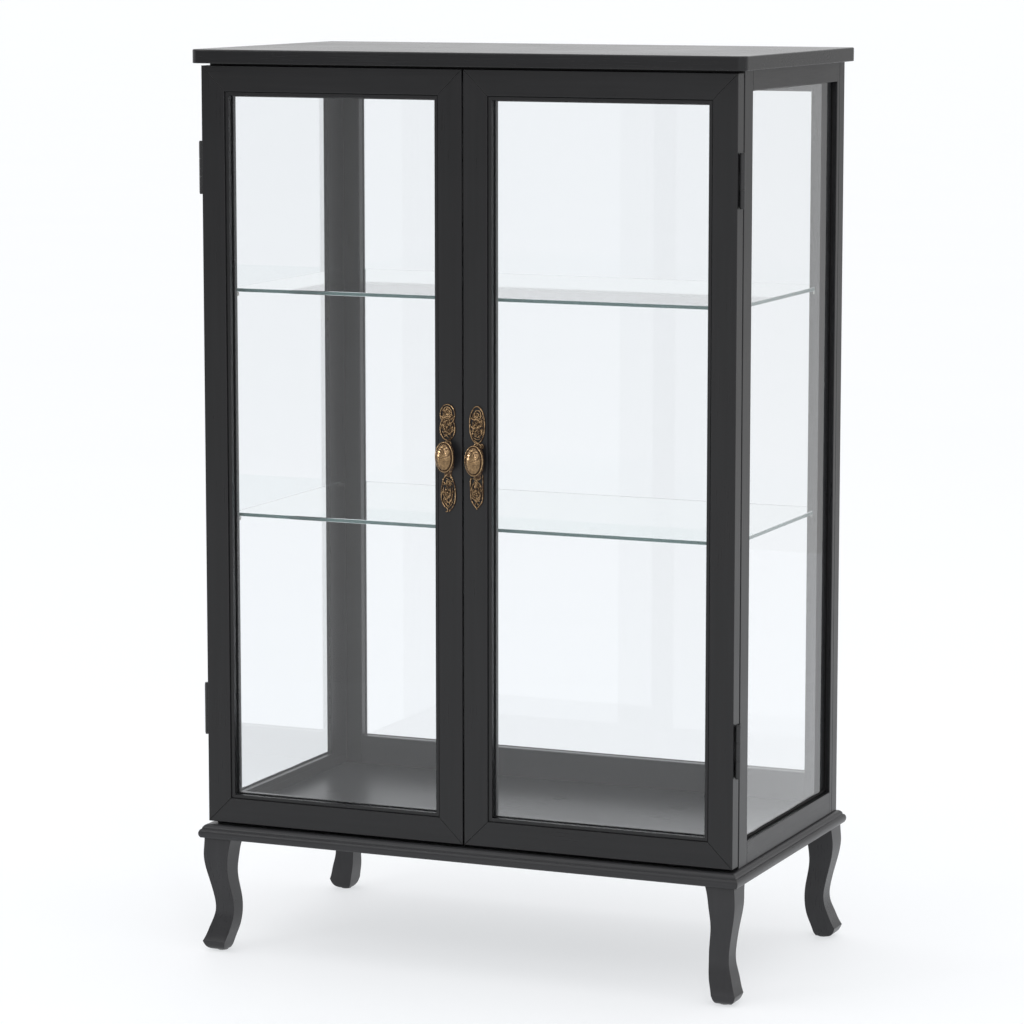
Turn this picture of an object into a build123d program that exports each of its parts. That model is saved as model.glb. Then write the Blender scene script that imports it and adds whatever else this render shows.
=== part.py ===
"""China cabinet with two glazed doors, glazed sides and a glazed back, on four cabriole legs.

Millimetres, +Z up, doors towards -Y. The origin is on the floor, under the middle of the outline.
"""
from build123d import *
import os

os.makedirs("parts", exist_ok=True)

# ---------------------------------------------------------------- driving dimensions
cabinet_height = 1018.0
top_width = 650.0
top_depth = 358.5
top_thick = 15.4
top_overhang_front = 7.0
top_corner_radius = 9.0
top_back_radius = 3.0
top_edge_radius = 1.6
top_lower_radius = 0.8

body_width = 629.4
body_depth = 347.7
top_gap = 2.4
base_gap = 3.4

leg_height = 131.4
moulding_height = 15.2
moulding_proud = 9.3
moulding_inset = 35.0
nose_height = 9.7
nose_bulge_height = 4.9
nose_setback = 2.0
groove_width = 1.3
groove_top = 10.7
crown_setback = 5.2
crown_height = 13.7

door_thick = 17.7
door_gap = 3.2
door_meeting_gap = 2.0
door_height_play = 0.2
door_member = 32.5
door_face = 28.0
door_step = 1.5
quirk_width = 0.9
quirk_depth = 2.6

side_thick = 15.7
side_front_stile = 25.6
side_rear_stile = 7.7
side_top_rail = 22.0
side_bottom_rail = 25.4

back_thick = 16.9
back_stile = 36.2
back_top_rail = 33.9
back_bottom_rail = 43.9

glass_thick = 4.0
rebate = 5.0
glass_play = 0.5
bead_play = 0.2
joint_line = 0.5
face_edge_radius = 0.7
inner_edge_chamfer = 0.8
glass_edge_chamfer = 0.3
door_glass_depth = 7.5
side_glass_depth = 6.0
back_reveal = 9.5
door_bead_show = 1.5
side_bead_show = 1.5

floor_thick = 10.0
inner_top_thick = 15.0
batten_width = 38.0

shelf_thick = 4.4
shelf_play = 2.0
shelf_corner_radius = 2.0
shelf_edge_radius = 0.8
shelf_front_inset = 14.0
shelf_back_clear = 3.5
lower_shelf_top = 499.5
upper_shelf_top = 752.5
pin_radius = 2.5
pin_play = 0.02
front_pin_inset = 17.0
rear_pin_inset = 18.5
pin_reach = 9.0
pin_depth = 4.5

knob_reach = 16.0
knob_width = 22.0
knob_height = 34.0
knob_body = 7.0
knob_crown_radius = 4.6
handle_height = 578.0
handle_inset = 16.5
plate_thick = 2.0

hinge_length = 56.0
hinge_heights = (278.5, 887.6)
knuckle_radius = 2.9
hinge_pin_radius = 1.2
hinge_bore_radius = 1.25
leaf_thick = 1.2
knuckle_length = 19.0
knuckle_play = 0.3
hinge_clear = 0.4
pivot_inset = 5.8
wing_length = 15.0
pin_cap_height = 1.4
pin_cap_radius = 2.6
hinge_screw_radius = 1.5
hinge_screw_length = 10.0
screw_point = 1.5
screw_recess_length = 3.2
screw_recess_width = 0.6
screw_recess_depth = 0.6
pilot_play = 0.02
pilot_spare = 0.5
countersink_play = 0.05
frame_screw_inset = 7.2
frame_screw_offset = 18.0

foot_inset = 10.5
glide_radius = 6.0
glide_height = 1.0
glide_edge_radius = 0.4

# ---------------------------------------------------------------- places worked out from them
overall_depth = knob_reach + body_depth + moulding_proud
door_front = knob_reach - overall_depth / 2
door_back = door_front + door_thick
carcass_front = door_back + door_gap
body_back = door_front + body_depth
carcass_back = body_back - back_thick

body_side = body_width / 2
inner_side = body_side - side_thick
moulding_top = leg_height + moulding_height
frame_bottom = moulding_top + base_gap
top_underside = cabinet_height - top_thick
frame_top = top_underside - top_gap
door_height = frame_top - frame_bottom
door_middle = (frame_top + frame_bottom) / 2
carcass_height = top_underside - moulding_top
carcass_middle = (top_underside + moulding_top) / 2
inner_top_underside = top_underside - inner_top_thick

door_width = body_side - door_meeting_gap / 2
side_depth = carcass_back - carcass_front
side_middle = (carcass_back + carcass_front) / 2

back_glass_depth = back_thick - back_reveal - glass_thick

pivot_x = body_side + knuckle_radius + hinge_clear
pivot_y = door_front + pivot_inset
shelf_front = carcass_front + shelf_front_inset
shelf_back = carcass_back - shelf_back_clear
front_pin_y = carcass_front + front_pin_inset
rear_pin_y = carcass_back - rear_pin_inset


def save(piece, label):
    """Name a finished piece and write it."""
    piece.part.label = label
    export_step(piece.part, f"parts/{label}.step")


# ---------------------------------------------------------------- glazed frames
class GlazedFrame:
    """One glazed frame, described in the plane of its outside face.

    Seen from outside, x runs to the right, y runs up and z comes out of the face.
    """

    def __init__(self, face, size, members, glass_depth, is_door=False):
        self.face = face
        self.width, self.height, self.thick = size
        self.left, self.right, self.bottom, self.top = members
        self.glass_depth = glass_depth
        self.is_door = is_door
        self.opening_width = self.width - self.left - self.right
        self.opening_height = self.height - self.bottom - self.top
        self.opening_centre = ((self.left - self.right) / 2, (self.bottom - self.top) / 2)
        self.bead_thick = self.thick - glass_depth - glass_thick

    def outline(self, member):
        """Corners of one member."""
        x0, x1 = -self.width / 2, self.width / 2
        y0, y1 = -self.height / 2, self.height / 2
        sight_x0, sight_x1 = x0 + self.left, x1 - self.right
        sight_y0, sight_y1 = y0 + self.bottom, y1 - self.top
        stile_y0, stile_y1 = (sight_y0, sight_y1) if self.is_door else (y0, y1)
        rail_x0, rail_x1 = (x0, x1) if self.is_door else (sight_x0, sight_x1)
        return {
            "left": [(x0, y0), (sight_x0, stile_y0), (sight_x0, stile_y1), (x0, y1)],
            "right": [(x1, y0), (sight_x1, stile_y0), (sight_x1, stile_y1), (x1, y1)],
            "bottom": [(rail_x0, y0), (rail_x1, y0), (sight_x1, sight_y0), (sight_x0, sight_y0)],
            "top": [(rail_x0, y1), (rail_x1, y1), (sight_x1, sight_y1), (sight_x0, sight_y1)],
        }[member]

    def window(self, grow):
        """Draw the opening, grown on every side, in the current sketch."""
        with Locations(self.opening_centre):
            Rectangle(self.opening_width + 2 * grow, self.opening_height + 2 * grow)

    def member(self, name, drillings=()):
        """Make one stile or rail with its rebate and drilled holes; a door's is mitred and moulded."""
        along = Axis.Z if name in ("left", "right") else Axis(self.face.origin, self.face.x_dir)
        outward = Axis(self.face.origin, self.face.z_dir)
        with BuildPart() as piece:
            with BuildSketch(self.face):
                with BuildLine():
                    Polyline(*self.outline(name), close=True)
                make_face()
            extrude(amount=-self.thick)
            if self.is_door:
                with BuildSketch(self.face):
                    self.window(door_member - door_face)
                extrude(amount=-door_step, mode=Mode.SUBTRACT)
                with BuildSketch(self.face):
                    self.window(door_member - door_face)
                    with Locations(self.opening_centre):
                        inner_grow = 2 * (door_member - door_face - quirk_width)
                        Rectangle(
                            self.opening_width + inner_grow,
                            self.opening_height + inner_grow,
                            mode=Mode.SUBTRACT,
                        )
                extrude(amount=-quirk_depth, mode=Mode.SUBTRACT)
            front_edges = piece.edges().group_by(outward)[-1].filter_by(along)
            fillet(front_edges, radius=face_edge_radius)
            with BuildSketch(self.inside_face()):
                self.window(rebate)
            extrude(amount=self.bead_thick + glass_thick, mode=Mode.SUBTRACT)
            if self.is_door:
                with BuildSketch(self.face):
                    for x in (-1, 1):
                        for y in (-1, 1):
                            with Locations((x * self.width / 2, y * self.height / 2)):
                                Rectangle(3 * door_member, joint_line, rotation=45 * x * y)
                extrude(amount=-joint_line, mode=Mode.SUBTRACT)
            for plane, spots, radius, depth in drillings:
                with BuildSketch(plane):
                    with Locations(*spots):
                        Circle(radius)
                extrude(amount=-depth, mode=Mode.SUBTRACT)
        return piece

    def pane(self):
        """Make the sheet of glass that stands in the rebate."""
        with BuildPart() as piece:
            with BuildSketch(self.face.offset(-self.glass_depth)):
                self.window(rebate - glass_play)
            extrude(amount=-glass_thick)
            chamfer(piece.edges(), length=glass_edge_chamfer)
        return piece

    def inside_face(self):
        """The plane of the inner face, where the beads lie."""
        return self.face.offset(-self.thick)

    def draw_beads(self, show, sides=("left", "right", "bottom", "top")):
        """Draw the strips that hold the glass in the current sketch; they show past the sight edge."""
        width = rebate + show
        pocket_width = self.opening_width + 2 * rebate
        pocket_height = self.opening_height + 2 * rebate
        middle_x, middle_y = self.opening_centre
        upright = pocket_height - 2 * bead_play
        across = pocket_width - 2 * (width + bead_play)
        offset_x = pocket_width / 2 - width / 2 - bead_play / 2
        offset_y = pocket_height / 2 - width / 2 - bead_play / 2
        strips = {
            "left": (middle_x - offset_x, middle_y, width - bead_play, upright),
            "right": (middle_x + offset_x, middle_y, width - bead_play, upright),
            "bottom": (middle_x, middle_y - offset_y, across, width - bead_play),
            "top": (middle_x, middle_y + offset_y, across, width - bead_play),
        }
        for side in sides:
            x, y, size_x, size_y = strips[side]
            with Locations((x, y)):
                Rectangle(size_x, size_y)


def door_frame(side):
    """The door on one side, -1 for left and +1 for right."""
    centre = side * (body_side - door_width / 2)
    return GlazedFrame(
        Plane(origin=(centre, door_front, door_middle), x_dir=(1, 0, 0), z_dir=(0, -1, 0)),
        (door_width, door_height - door_height_play, door_thick),
        (door_member,) * 4,
        door_glass_depth,
        is_door=True,
    )


def side_frame(side):
    """The glazed side, -1 for left and +1 for right; its stiles swap places between the two."""
    stiles = (side_rear_stile, side_front_stile) if side < 0 else (side_front_stile, side_rear_stile)
    return GlazedFrame(
        Plane(
            origin=(side * body_side, side_middle, carcass_middle),
            x_dir=(0, side, 0),
            z_dir=(side, 0, 0),
        ),
        (side_depth, carcass_height, side_thick),
        (*stiles, side_bottom_rail, side_top_rail),
        side_glass_depth,
    )


back = GlazedFrame(
    Plane(origin=(0, body_back, carcass_middle), x_dir=(-1, 0, 0), z_dir=(0, 1, 0)),
    (body_width, carcass_height, back_thick),
    (back_stile, back_stile, back_bottom_rail, back_top_rail),
    back_glass_depth,
)


def back_member(name):
    """One member of the back frame, rebated on its outer side, where the glass goes in."""
    with BuildPart() as piece:
        with BuildSketch(back.face):
            with BuildLine():
                Polyline(*back.outline(name), close=True)
            make_face()
        extrude(amount=-back_thick)
        inner_edges = piece.edges().group_by(Axis(back.face.origin, back.face.z_dir))[0]
        along = Axis.Z if name in ("left", "right") else Axis.X
        chamfer(inner_edges.filter_by(along), length=inner_edge_chamfer)
        with BuildSketch(back.face):
            back.window(rebate)
        extrude(amount=-(back_glass_depth + glass_thick), mode=Mode.SUBTRACT)
    return piece


# ---------------------------------------------------------------- top board and inner panels
top_front = door_front - top_overhang_front
with BuildPart() as top_panel:
    with BuildSketch(Plane.XY.offset(top_underside)):
        with Locations((0, top_front + top_depth / 2)):
            Rectangle(top_width, top_depth)
        corners = vertices().sort_by(Axis.Y)
        fillet(corners[:2], radius=top_corner_radius)
        fillet(vertices().sort_by(Axis.Y)[-2:], radius=top_back_radius)
    extrude(amount=top_thick)
    fillet(top_panel.faces().sort_by(Axis.Z)[-1].edges(), radius=top_edge_radius)
    fillet(top_panel.faces().sort_by(Axis.Z)[0].edges(), radius=top_lower_radius)
save(top_panel, "top_panel")

for label, underside, thick in (
    ("inner_top_panel", inner_top_underside, inner_top_thick),
    ("floor_panel", moulding_top, floor_thick),
):
    with BuildPart() as panel:
        with BuildSketch(Plane.XY.offset(underside)):
            with Locations((0, side_middle)):
                Rectangle(2 * inner_side, side_depth)
        extrude(amount=thick)
    save(panel, label)

# ---------------------------------------------------------------- base moulding


def moulding_run(corner, along, outward, length):
    """One mitred run of the base moulding; corner is on the line of the body's faces."""
    start = Vector(*corner)
    run = Vector(*along)
    out = Vector(*outward)
    section = Plane(origin=start - run * moulding_proud, x_dir=out, z_dir=run)
    up = section.y_dir.Z
    nose_x, nose_z = moulding_proud - nose_setback, up * nose_height
    groove_x, groove_z = nose_x - groove_width, up * groove_top
    crown = (moulding_proud - crown_setback, up * crown_height)
    top_z = up * moulding_height
    with BuildPart() as piece:
        with BuildSketch(section):
            with BuildLine():
                Line((-moulding_inset, 0), (nose_x, 0))
                ThreePointArc((nose_x, 0), (moulding_proud, up * nose_bulge_height), (nose_x, nose_z))
                Polyline((nose_x, nose_z), (groove_x, nose_z), (groove_x, groove_z))
                ThreePointArc((groove_x, groove_z), crown, (0, top_z))
                Polyline((0, top_z), (-moulding_inset, top_z), (-moulding_inset, 0))
            make_face()
        extrude(amount=length + 2 * moulding_proud)
        split(bisect_by=Plane(origin=start, z_dir=run + out), keep=Keep.TOP)
        split(bisect_by=Plane(origin=start + run * length, z_dir=out - run), keep=Keep.TOP)
    return piece


moulding_corners = {
    "moulding_front": ((-body_side, door_front), (1, 0, 0), (0, -1, 0), body_width),
    "moulding_right": ((body_side, door_front), (0, 1, 0), (1, 0, 0), body_depth),
    "moulding_back": ((body_side, body_back), (-1, 0, 0), (0, 1, 0), body_width),
    "moulding_left": ((-body_side, body_back), (0, -1, 0), (-1, 0, 0), body_depth),
}
for label, (corner, along, outward, length) in moulding_corners.items():
    save(moulding_run((*corner, leg_height), along, outward, length), label)

# ---------------------------------------------------------------- cabriole legs
# The leg is sawn to one curve from two adjoining sides. Distances run inwards from the body's corner.
outer_curve = [(-4.0, leg_height), (-4.8, 111.0), (-1.0, 86.0), (4.0, 61.0)]
outer_curve += [(4.6, 44.5), (-0.2, 28.0), (-6.4, 11.5)]
toe_curve = [(-6.4, 11.5), (-3.2, 4.6), (4.0, glide_height)]
inner_curve = [(17.0, glide_height), (21.0, 11.0), (25.2, 25.5), (27.6, 42.0), (27.2, 60.0)]
inner_curve += [(25.0, 76.0), (23.8, 91.0), (25.2, 109.0), (29.5, leg_height)]
leg_reach = 60.0

with BuildSketch() as leg_profile:
    with BuildLine():
        Spline(*outer_curve, tangents=((0, -1), (-0.5, -1)))
        Spline(*toe_curve, tangents=((0.3, -1), (1, -0.12)))
        Line(toe_curve[-1], inner_curve[0])
        Spline(*inner_curve, tangents=((0.9, 1), (0.3, 1)))
        Line(inner_curve[-1], outer_curve[0])
    make_face()


def cabriole_leg(side, end):
    """One leg; side is -1 left or +1 right, end is -1 front or +1 back."""
    corner = (side * body_side, door_front if end < 0 else body_back, 0)
    with BuildPart() as leg:
        with BuildSketch(Plane(origin=corner, x_dir=(-side, 0, 0), z_dir=(0, side, 0))):
            add(leg_profile.sketch)
        extrude(amount=leg_reach, both=True)
        with BuildSketch(Plane(origin=corner, x_dir=(0, -end, 0), z_dir=(-end, 0, 0))):
            add(leg_profile.sketch)
        extrude(amount=leg_reach, both=True, mode=Mode.INTERSECT)
    return leg


leg_places = {
    "leg_front_left": (-1, -1),
    "leg_front_right": (1, -1),
    "leg_back_left": (-1, 1),
    "leg_back_right": (1, 1),
}
for label, (side, end) in leg_places.items():
    save(cabriole_leg(side, end), label)

with BuildPart() as foot_glides:
    with BuildSketch():
        for side, end in leg_places.values():
            edge_y = door_front if end < 0 else body_back
            with Locations((side * (body_side - foot_inset), edge_y - end * foot_inset)):
                Circle(glide_radius)
    extrude(amount=glide_height)
    fillet(foot_glides.faces().group_by(Axis.Z)[0].edges(), radius=glide_edge_radius)
save(foot_glides, "foot_glides")

# ---------------------------------------------------------------- glazed sides
shelf_heights = (lower_shelf_top - shelf_thick, upper_shelf_top - shelf_thick)
pin_heights = [height - pin_radius for height in shelf_heights]
frame_screw_heights = [
    height + offset for height in hinge_heights for offset in (-frame_screw_offset, frame_screw_offset)
]
frame_screw_x = body_side - frame_screw_inset


def inner_face(side):
    """The inner face of a glazed side, looking into the cabinet; x runs back and y runs up."""
    if side < 0:
        return Plane(origin=(-inner_side, 0, 0), x_dir=(0, 1, 0), z_dir=(1, 0, 0))
    return Plane(origin=(inner_side, 0, 0), x_dir=(0, -1, 0), z_dir=(-1, 0, 0))


def pin_spots(side, pin_y):
    """Places of the shelf pins at one depth, on the inner face of one side."""
    return [(-side * pin_y, height) for height in pin_heights]


front_edge_plane = Plane(origin=(0, carcass_front, 0), x_dir=(1, 0, 0), z_dir=(0, -1, 0))

for side, name in ((-1, "left"), (1, "right")):
    frame = side_frame(side)
    front, rear = ("right", "left") if side < 0 else ("left", "right")
    hinge_holes = [(side * frame_screw_x, height) for height in frame_screw_heights]
    drillings = [
        (inner_face(side), pin_spots(side, front_pin_y), pin_radius + pin_play, pin_depth),
        (front_edge_plane, hinge_holes, hinge_screw_radius + pilot_play, hinge_screw_length + pilot_spare),
    ]
    save(frame.member(front, drillings), f"{name}_side_front_stile")
    save(frame.member(rear), f"{name}_side_rear_stile")
    save(frame.member("top"), f"{name}_side_top_rail")
    save(frame.member("bottom"), f"{name}_side_bottom_rail")
    save(frame.pane(), f"{name}_side_glass")

# ---------------------------------------------------------------- glazed back
for member, label in (
    ("left", "back_right_stile"),
    ("right", "back_left_stile"),
    ("bottom", "back_bottom_rail"),
    ("top", "back_top_rail"),
):
    save(back_member(member), label)

with BuildPart() as back_glass:
    with BuildSketch(back.face.offset(-back_glass_depth)):
        back.window(rebate - glass_play)
    extrude(amount=-glass_thick)
    chamfer(back_glass.edges(), length=glass_edge_chamfer)
save(back_glass, "back_glass")

# ---------------------------------------------------------------- beads and rear battens
side_bead_thick = side_thick - side_glass_depth - glass_thick
side_bead_width = rebate + side_bead_show
batten_back = carcass_back - side_rear_stile + rebate
batten_front = batten_back - batten_width
bead_run_front = carcass_front + side_front_stile + side_bead_show + bead_play
bead_run = batten_front - bead_play - bead_run_front
bead_run_middle = bead_run_front + bead_run / 2
bottom_bead_z = moulding_top + side_bottom_rail - rebate + side_bead_width / 2
top_bead_z = top_underside - side_top_rail + rebate - side_bead_width / 2
with BuildPart() as carcass_glass_beads:
    for side, front in ((-1, "right"), (1, "left")):
        frame = side_frame(side)
        with BuildSketch(frame.inside_face()):
            frame.draw_beads(side_bead_show, (front,))
        extrude(amount=frame.bead_thick)
        bead_x = side * (inner_side + side_bead_thick / 2)
        with Locations((bead_x, bead_run_middle, bottom_bead_z), (bead_x, bead_run_middle, top_bead_z)):
            Box(side_bead_thick, bead_run, side_bead_width - bead_play)
    with BuildSketch(back.face.offset(-back_glass_depth)):
        back.draw_beads(0)
    extrude(amount=back_glass_depth)
save(carcass_glass_beads, "carcass_glass_beads")

batten_height = carcass_height - side_top_rail - side_bottom_rail + 2 * (rebate - bead_play)
batten_centre_z = carcass_middle + (side_bottom_rail - side_top_rail) / 2
with BuildPart() as rear_battens:
    for side in (-1, 1):
        with Locations((side * (inner_side + side_bead_thick / 2), batten_front, batten_centre_z)):
            batten_align = (Align.CENTER, Align.MIN, Align.CENTER)
            Box(side_bead_thick, batten_width, batten_height, align=batten_align)
    for side in (-1, 1):
        with BuildSketch(inner_face(side)):
            with Locations(*pin_spots(side, rear_pin_y)):
                Circle(pin_radius + pin_play)
        extrude(amount=-pin_depth, mode=Mode.SUBTRACT)
save(rear_battens, "rear_battens")

# ---------------------------------------------------------------- shelves and their pins
for label, height in (("lower_shelf", shelf_heights[0]), ("upper_shelf", shelf_heights[1])):
    with BuildPart() as shelf:
        with BuildSketch(Plane.XY.offset(height)):
            with Locations((0, (shelf_front + shelf_back) / 2)):
                Rectangle(2 * (inner_side - shelf_play), shelf_back - shelf_front)
            fillet(vertices(), radius=shelf_corner_radius)
        extrude(amount=shelf_thick)
        fillet(shelf.faces().sort_by(Axis.Z)[-1].edges(), radius=shelf_edge_radius)
        fillet(shelf.faces().sort_by(Axis.Z)[0].edges(), radius=shelf_edge_radius)
    save(shelf, label)

with BuildPart() as shelf_pins:
    for side in (-1, 1):
        spots = pin_spots(side, front_pin_y) + pin_spots(side, rear_pin_y)
        with BuildSketch(inner_face(side).offset(-pin_depth)):
            with Locations(*spots):
                Circle(pin_radius)
        extrude(amount=pin_depth + pin_reach)
save(shelf_pins, "shelf_pins")

# ---------------------------------------------------------------- hinges
knuckle_half = knuckle_length / 2
plate_front = pivot_y + knuckle_radius + hinge_clear
crank_x = body_side + hinge_clear

with BuildPart() as countersunk_screw:
    with BuildSketch(Plane.XZ):
        with BuildLine():
            Polyline(
                (0, 0),
                (hinge_screw_radius + leaf_thick, 0),
                (hinge_screw_radius, -leaf_thick),
                (hinge_screw_radius, -hinge_screw_length + screw_point),
                (0, -hinge_screw_length),
                close=True,
            )
        make_face()
    revolve(axis=Axis.Z)
    with BuildSketch():
        Rectangle(screw_recess_length, screw_recess_width)
        Rectangle(screw_recess_width, screw_recess_length)
    extrude(amount=-screw_recess_depth, mode=Mode.SUBTRACT)

with BuildPart() as countersink:
    with BuildSketch(Plane.XZ):
        with BuildLine():
            Polyline(
                (0, 0),
                (hinge_screw_radius + leaf_thick + countersink_play, 0),
                (hinge_screw_radius + countersink_play, -leaf_thick),
                (0, -leaf_thick),
                close=True,
            )
        make_face()
    revolve(axis=Axis.Z)


def wing_spots(side):
    """Screw places on the wings of one side's frame leaves, facing out of the leaves."""
    return [
        Plane(origin=(side * frame_screw_x, carcass_front - leaf_thick, height), z_dir=(0, -1, 0))
        for height in frame_screw_heights
    ]


with BuildPart() as hinge_frame_leaves:
    for side in (-1, 1):
        for height in hinge_heights:
            with BuildSketch(Plane.XY.offset(height - hinge_length / 2)):
                with Locations((side * pivot_x, pivot_y)):
                    Circle(knuckle_radius)
                with Locations((side * (crank_x + leaf_thick / 2), (pivot_y + carcass_front) / 2)):
                    Rectangle(leaf_thick, carcass_front - pivot_y)
                wing_middle = crank_x + leaf_thick - wing_length / 2
                with Locations((side * wing_middle, carcass_front - leaf_thick / 2)):
                    Rectangle(wing_length, leaf_thick)
                with Locations((side * pivot_x, pivot_y)):
                    Circle(hinge_bore_radius, mode=Mode.SUBTRACT)
            extrude(amount=hinge_length)
            with Locations((side * pivot_x, pivot_y, height)):
                Box(
                    4 * knuckle_radius,
                    2 * (plate_front - pivot_y),
                    knuckle_length + 2 * knuckle_play,
                    mode=Mode.SUBTRACT,
                )
        with Locations(*wing_spots(side)):
            add(countersink.part, mode=Mode.SUBTRACT)
save(hinge_frame_leaves, "hinge_frame_leaves")

with BuildPart() as hinge_frame_screws:
    for side in (-1, 1):
        with Locations(*wing_spots(side)):
            add(countersunk_screw.part)
save(hinge_frame_screws, "hinge_frame_screws")

with BuildPart() as hinge_pins:
    for side in (-1, 1):
        for height in hinge_heights:
            low = height - hinge_length / 2
            with BuildSketch(Plane.XY.offset(low)):
                with Locations((side * pivot_x, pivot_y)):
                    Circle(hinge_pin_radius)
            extrude(amount=hinge_length)
            for cap in (low - pin_cap_height, low + hinge_length):
                with BuildSketch(Plane.XY.offset(cap)):
                    with Locations((side * pivot_x, pivot_y)):
                        Circle(pin_cap_radius)
                extrude(amount=pin_cap_height)
save(hinge_pins, "hinge_pins")

# ---------------------------------------------------------------- magnetic catches
catch_x = 30.0
catch_width = 34.0
catch_depth = 16.0
catch_height = 11.0
pole_proud = 1.6
pole_thick = 1.6
pole_offset = 3.0
pole_margin = 4.0
with BuildPart() as magnetic_catches:
    for side in (-1, 1):
        middle = (side * catch_x, carcass_front + catch_depth / 2, inner_top_underside - catch_height / 2)
        with Locations(middle):
            Box(catch_width, catch_depth, catch_height)
        for pole in (-pole_offset, pole_offset):
            with Locations((middle[0], carcass_front - pole_proud / 2, middle[2] + pole)):
                Box(catch_width - 2 * pole_margin, pole_proud, pole_thick)
save(magnetic_catches, "magnetic_catches")

# ---------------------------------------------------------------- doors
edge_plate_inset = 2.0
edge_plate_width = 12.5
edge_plate_middle = door_front + edge_plate_inset + edge_plate_width / 2
edge_screw_inset = 10.6
edge_screw_y = door_front + edge_screw_inset
edge_screw_offset = 20.0
strike_thick = 1.2
strike_margin = 3.0
knob_screw_radius = 2.0
knob_screw_play = 0.1
knob_screw_head = 4.2
knob_screw_head_height = 1.8
knob_screw_head_edge = 1.0
knob_screw_spare = 0.5
knob_stem_radius = 4.2
stem_root = 2.0
stem_length = knob_reach - knob_body - plate_thick


def edge_plane(side):
    """The outer edge of a door; x runs sideways along it and y runs up."""
    return Plane(origin=(side * body_side, 0, 0), x_dir=(0, side, 0), z_dir=(side, 0, 0))


def edge_spots(side):
    """Screw places on the edge plates of one door, on its outer edge."""
    return [
        (side * edge_screw_y, height + offset)
        for height in hinge_heights
        for offset in (-edge_screw_offset, edge_screw_offset)
    ]


def edge_planes(side):
    """The same places as planes that face out of the door's edge."""
    return [
        Plane(origin=(side * body_side, edge_screw_y, height + offset), z_dir=(side, 0, 0))
        for height in hinge_heights
        for offset in (-edge_screw_offset, edge_screw_offset)
    ]


plate_edge = [(0, 59.5), (6.2, 54.0), (9.8, 40.0), (8.6, 26.0), (5.0, 14.0), (4.6, 0.0)]
plate_edge += [(6.4, -14.0), (9.4, -28.0), (8.6, -42.0), (4.6, -53.0), (0, -59.5)]
with BuildSketch() as plate_outline:
    with BuildLine():
        plate_side = Spline(*plate_edge)
        mirror(plate_side, about=Plane.YZ)
    make_face()
    Circle(knob_screw_radius + knob_screw_play, mode=Mode.SUBTRACT)

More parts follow.
